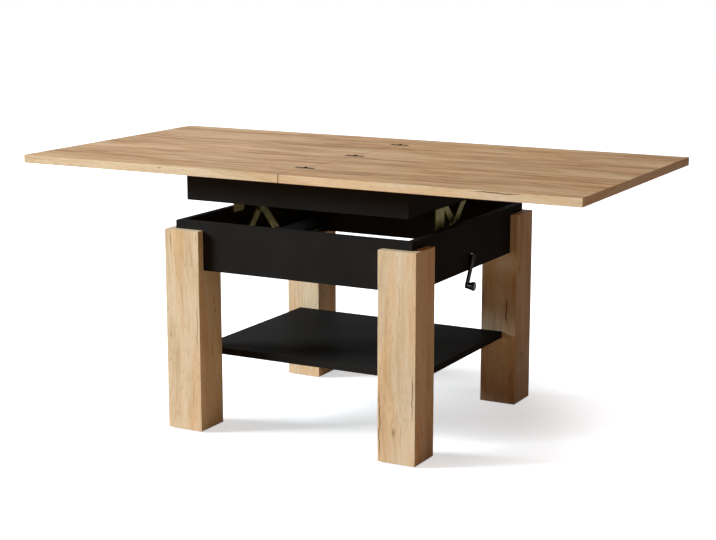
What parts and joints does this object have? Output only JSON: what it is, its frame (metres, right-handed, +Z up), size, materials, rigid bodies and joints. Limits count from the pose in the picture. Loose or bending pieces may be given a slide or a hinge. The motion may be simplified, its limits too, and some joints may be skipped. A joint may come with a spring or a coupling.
{
  "type": "convertible coffee dining table",
  "caption": "Square-legged table with a crank-raised scissor lift under its top: one leaf folds over the other and the pair slides to the middle, from dining table to coffee table.",
  "frame": {"origin": "on the floor, under the middle of the unfolded top and of the base", "axes": "+X along the unfolded top towards the crank, +Y from the front to the back, +Z up"},
  "size_m": [1.6006, 0.8, 0.7163],
  "materials": {
    "oak_board": "matt oak-look laminate on board",
    "black_board": "matt black laminate on board",
    "yellow_zinc_steel": "yellow-passivated zinc plate",
    "bright_steel": "bright zinc plate",
    "bronze": "turned bronze",
    "dark_steel": "dark bronzed steel",
    "black_steel": "black powder coat",
    "black_plastic": "black moulded plastic",
    "aluminium": "mill-finish extrusion",
    "beech": "plain beech"
  },
  "bodies": {
    "base": {"leg_front_right": "oak_board", "leg_front_left": "oak_board", "leg_back_right": "oak_board", "leg_back_left": "oak_board", "foot_glides": "black_plastic", "apron_right": "black_board", "apron_left": "black_board", "apron_front": "black_board", "apron_back": "black_board", "apron_dowels": "beech", "shelf": "black_board", "shelf_dowels": "beech", "leg_screws": "bright_steel", "lower_rail_right": "black_steel", "lower_rail_left": "black_steel", "rail_brackets": "black_steel", "bracket_screws": "black_steel", "front_cross_bar": "black_steel", "rear_cross_bar": "black_steel", "shaft_bearing": "bronze", "crank_bush": "black_plastic"},
    "rising_arms": {"arm_a_right": "yellow_zinc_steel", "arm_a_left": "yellow_zinc_steel", "arm_a_shaft": "bright_steel", "cross_pins": "bright_steel", "slot_pins": "bright_steel"},
    "falling_arms": {"arm_b_right": "yellow_zinc_steel", "arm_b_left": "yellow_zinc_steel"},
    "platform": {"upper_right": "black_board", "upper_left": "black_board", "upper_front": "black_board", "upper_back": "black_board", "upper_dowels": "beech", "upper_rail_right": "yellow_zinc_steel", "upper_rail_left": "yellow_zinc_steel", "upper_rail_screws": "bright_steel", "upper_pivot_pins": "bright_steel", "guide_front": "aluminium", "guide_back": "aluminium", "guide_screws": "bright_steel"},
    "carriage": {"nut_block": "bronze", "nut_trunnions": "bright_steel"},
    "screw": {"lift_screw": "bright_steel", "screw_gear": "bright_steel"},
    "crank": {"crank_shaft": "bright_steel", "crank_gear": "bright_steel", "crank_arm": "black_steel", "knob_pin": "bright_steel"},
    "knob": {"crank_knob": "black_plastic"},
    "sliding_leaf": {"main_leaf": "oak_board", "runner_front": "aluminium", "runner_back": "aluminium", "runner_screws": "bright_steel", "main_hinge_plates": "dark_steel", "main_hinge_screws": "dark_steel", "hinge_pins": "bright_steel"},
    "folding_leaf": {"flap_leaf": "oak_board", "flap_hinge_plates": "dark_steel", "flap_hinge_screws": "dark_steel"}
  },
  "joints": [
    {"name": "lift", "type": "hinge", "parent": "base", "child": "rising_arms", "pos_m": [0, 0.09051, 0.466], "axis": [-1, 0, 0], "range_deg": [-32.82, 13]},
    {"name": "arm_cross", "type": "hinge", "parent": "rising_arms", "child": "falling_arms", "pos_m": [0, 0, 0.55651], "axis": [-1, 0, 0], "range_deg": [-26.2, 65.9]},
    {"name": "platform_level", "type": "hinge", "parent": "falling_arms", "child": "platform", "pos_m": [0, 0.09051, 0.64702], "axis": [-1, 0, 0], "range_deg": [-33, 13.2]},
    {"name": "nut_level", "type": "hinge", "parent": "falling_arms", "child": "carriage", "pos_m": [0, -0.09051, 0.466], "axis": [-1, 0, 0], "range_deg": [-33, 13.2]},
    {"name": "screw_turn", "type": "hinge", "parent": "base", "child": "screw", "pos_m": [0, 0, 0.466], "axis": [0, 1, 0], "range_deg": [-1490, 3720]},
    {"name": "crank_turn", "type": "hinge", "parent": "base", "child": "crank", "pos_m": [0, 0, 0.466], "axis": [1, 0, 0], "range_deg": [-1490, 3720]},
    {"name": "knob_spin", "type": "hinge", "parent": "crank", "child": "knob", "pos_m": [0.36, -0.03685, 0.39953], "axis": [1, 0, 0], "continuous": true},
    {"name": "leaf_slide", "type": "slide", "parent": "platform", "child": "sliding_leaf", "axis": [1, 0, 0], "range_m": [-0.4, 0]},
    {"name": "leaf_fold", "type": "hinge", "parent": "sliding_leaf", "child": "folding_leaf", "pos_m": [0, 0, 0.71432], "axis": [0, 1, 0], "range_deg": [0, 180]}
  ],
  "couplings": [
    {"joint": "arm_cross", "follows": "lift", "ratio": -2},
    {"joint": "platform_level", "follows": "lift", "ratio": 1},
    {"joint": "nut_level", "follows": "lift", "ratio": 1},
    {"joint": "screw_turn", "follows": "lift", "ratio": -112.53},
    {"joint": "crank_turn", "follows": "lift", "ratio": -112.53}
  ]
}
